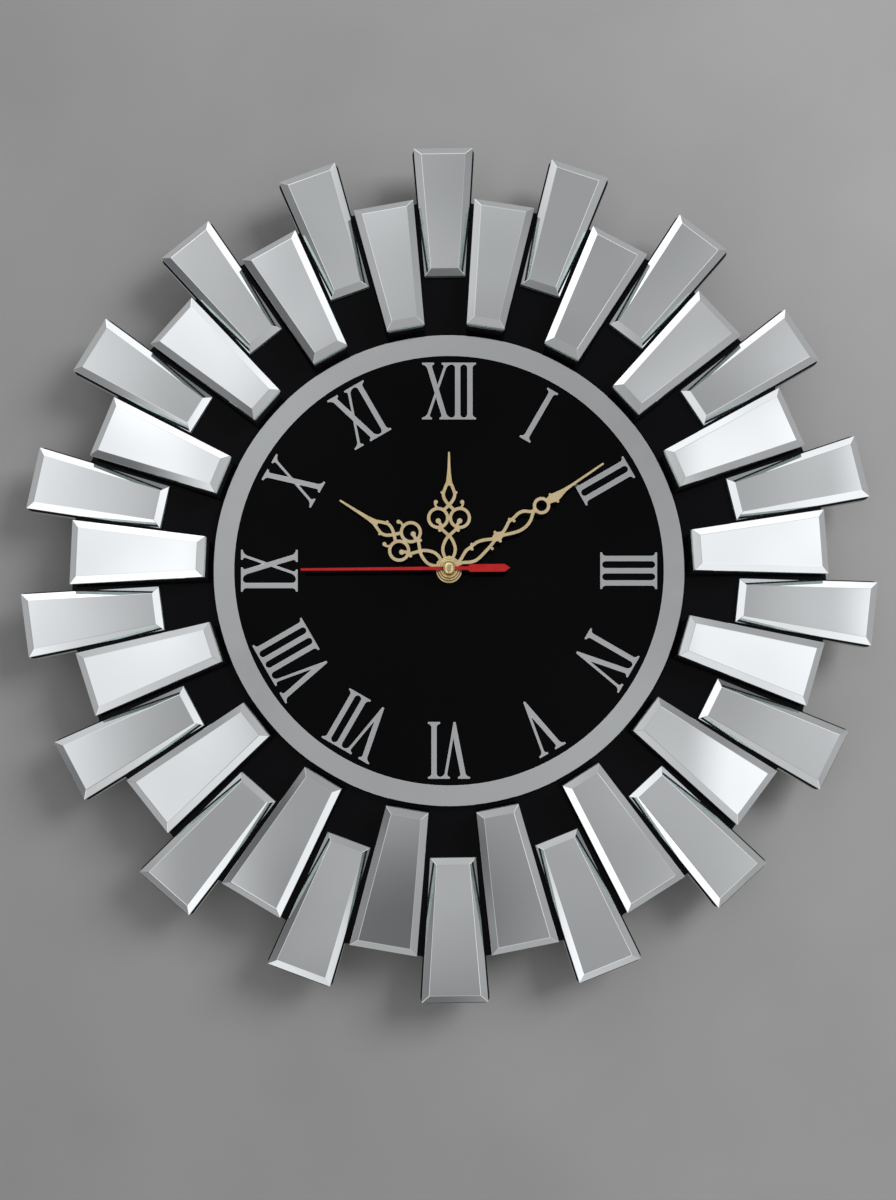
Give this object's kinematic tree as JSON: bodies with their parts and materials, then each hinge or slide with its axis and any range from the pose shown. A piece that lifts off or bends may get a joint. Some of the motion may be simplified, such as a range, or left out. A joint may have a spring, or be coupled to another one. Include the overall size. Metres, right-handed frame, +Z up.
{
  "type": "sunburst mirror wall clock",
  "caption": "Round wall clock with two rows of bevelled mirror tiles round a black glass dial, silver Roman numerals, pierced gold hands and a quartz alarm movement.",
  "frame": {"origin": "on the hand axis, in the wall plane that the movement's rear cover rests on", "axes": "+Z up to twelve o'clock, dial facing -Y, +Y into the wall, +X towards three o'clock"},
  "size_m": [0.5004, 0.0415, 0.4996],
  "materials": {
    "black_lacquer": "gloss",
    "mirror_glass": "polished",
    "riser_black": "gloss",
    "dial_black": "polished",
    "silver_trim": "polished",
    "gold_metal": "satin",
    "red_paint": "gloss",
    "polished_brass": "polished",
    "black_rubber": "matte",
    "case_plastic": "fine texture",
    "gear_plastic": "moulded",
    "pipe_brass": "turned",
    "magnet_metal": "plain",
    "steel": "plated",
    "copper_wire": "wound",
    "circuit_green": "lacquered",
    "chip_black": "moulded",
    "buzzer_brass": "plain",
    "battery_shell": "satin",
    "switch_red": "moulded",
    "pale_wood": "sanded",
    "grey_felt": "felted"
  },
  "bodies": {
    "clock_body": {"back_board": "black_lacquer", "outer_mirrors": "mirror_glass", "inner_mirrors": "mirror_glass", "mirror_risers": "riser_black", "dial_glass": "dial_black", "dial_ring": "silver_trim", "numeral_1": "silver_trim", "numeral_2": "silver_trim", "numeral_3": "silver_trim", "numeral_4": "silver_trim", "numeral_5": "silver_trim", "numeral_6": "silver_trim", "numeral_7": "silver_trim", "numeral_8": "silver_trim", "numeral_9": "silver_trim", "numeral_10": "silver_trim", "numeral_11": "silver_trim", "numeral_12": "silver_trim", "fixing_nut": "polished_brass", "metal_washer": "polished_brass", "rubber_washer": "black_rubber", "movement_case": "case_plastic", "rear_cover": "case_plastic", "gear_plate": "gear_plastic", "plate_screws": "steel", "stator": "steel", "quartz_crystal": "steel", "positive_contact": "steel", "negative_contact": "steel", "hanger_plate": "steel", "hanger_screws": "steel", "coil": "copper_wire", "circuit_board": "circuit_green", "chip": "chip_black", "buzzer": "buzzer_brass", "battery": "battery_shell", "hanger_block": "pale_wood", "wall_spacers": "pale_wood", "spacer_pads": "grey_felt"},
    "second_train": {"seconds_wheel": "gear_plastic", "second_hand": "red_paint", "hand_cap": "polished_brass"},
    "minute_train": {"centre_wheel": "pipe_brass", "minute_hand": "gold_metal"},
    "hour_train": {"hour_wheel": "pipe_brass", "hour_hand": "gold_metal"},
    "alarm_train": {"alarm_wheel": "pipe_brass", "alarm_hand": "gold_metal"},
    "rotor_body": {"rotor": "magnet_metal"},
    "step_body": {"step_wheel": "gear_plastic"},
    "third_body": {"third_wheel": "gear_plastic"},
    "time_setting": {"motion_wheel": "gear_plastic", "time_knob": "case_plastic"},
    "alarm_setting": {"alarm_pinion": "gear_plastic", "alarm_knob": "case_plastic"},
    "switch_body": {"alarm_switch": "switch_red"}
  },
  "joints": [
    {"name": "minute_hand_spin", "type": "hinge", "parent": "clock_body", "child": "minute_train", "pos_m": [0, 0, 0], "axis": [0, 1, 0], "continuous": true},
    {"name": "hour_hand_spin", "type": "hinge", "parent": "clock_body", "child": "hour_train", "pos_m": [0, 0, 0], "axis": [0, 1, 0], "continuous": true},
    {"name": "second_hand_spin", "type": "hinge", "parent": "clock_body", "child": "second_train", "pos_m": [0, 0, 0], "axis": [0, 1, 0], "continuous": true},
    {"name": "third_wheel_spin", "type": "hinge", "parent": "clock_body", "child": "third_body", "pos_m": [-0.00779, 0, 0.0045], "axis": [0, 1, 0], "continuous": true},
    {"name": "step_wheel_spin", "type": "hinge", "parent": "clock_body", "child": "step_body", "pos_m": [0.00233, 0, 0.00869], "axis": [0, 1, 0], "continuous": true},
    {"name": "rotor_spin", "type": "hinge", "parent": "clock_body", "child": "rotor_body", "pos_m": [0.00583, 0, 0.01476], "axis": [0, 1, 0], "continuous": true},
    {"name": "time_knob_spin", "type": "hinge", "parent": "clock_body", "child": "time_setting", "pos_m": [0.00909, 0, 0.00525], "axis": [0, 1, 0], "continuous": true},
    {"name": "alarm_hand_spin", "type": "hinge", "parent": "clock_body", "child": "alarm_train", "pos_m": [0, 0, 0], "axis": [0, 1, 0], "continuous": true},
    {"name": "alarm_knob_spin", "type": "hinge", "parent": "clock_body", "child": "alarm_setting", "pos_m": [0.00909, 0, -0.00525], "axis": [0, 1, 0], "continuous": true},
    {"name": "alarm_switch_slide", "type": "slide", "parent": "clock_body", "child": "switch_body", "axis": [0, 0, 1], "range_m": [0, 0.003]}
  ],
  "couplings": [
    {"joint": "hour_hand_spin", "follows": "minute_hand_spin", "ratio": 0.083333},
    {"joint": "second_hand_spin", "follows": "minute_hand_spin", "ratio": 60},
    {"joint": "third_wheel_spin", "follows": "minute_hand_spin", "ratio": -8},
    {"joint": "step_wheel_spin", "follows": "minute_hand_spin", "ratio": -300},
    {"joint": "rotor_spin", "follows": "minute_hand_spin", "ratio": 1800},
    {"joint": "time_knob_spin", "follows": "minute_hand_spin", "ratio": -0.33333},
    {"joint": "alarm_knob_spin", "follows": "alarm_hand_spin", "ratio": -4}
  ]
}
